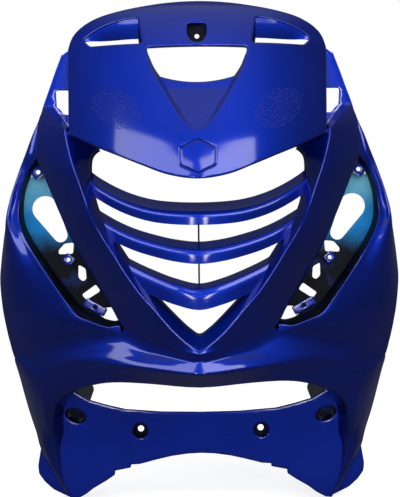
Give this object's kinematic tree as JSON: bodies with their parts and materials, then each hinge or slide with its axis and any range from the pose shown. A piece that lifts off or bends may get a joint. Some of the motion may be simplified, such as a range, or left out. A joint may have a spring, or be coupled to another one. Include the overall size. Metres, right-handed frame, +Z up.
{
  "type": "scooter front cover",
  "caption": "Metallic blue scooter front cover with a beaked nose panel, louvred grille, side pockets and an arched lower panel.",
  "frame": {"origin": "middle of the line between the two lower bolt holes, at the rear face of their bosses", "axes": "+X to the object's right-hand side of the picture, -Y towards the front of the scooter, +Z up"},
  "size_m": [0.4378, 0.2318, 0.5465],
  "materials": {
    "paint": "gloss"
  },
  "bodies": {
    "root": {"front_shield": "paint"}
  },
  "joints": []
}
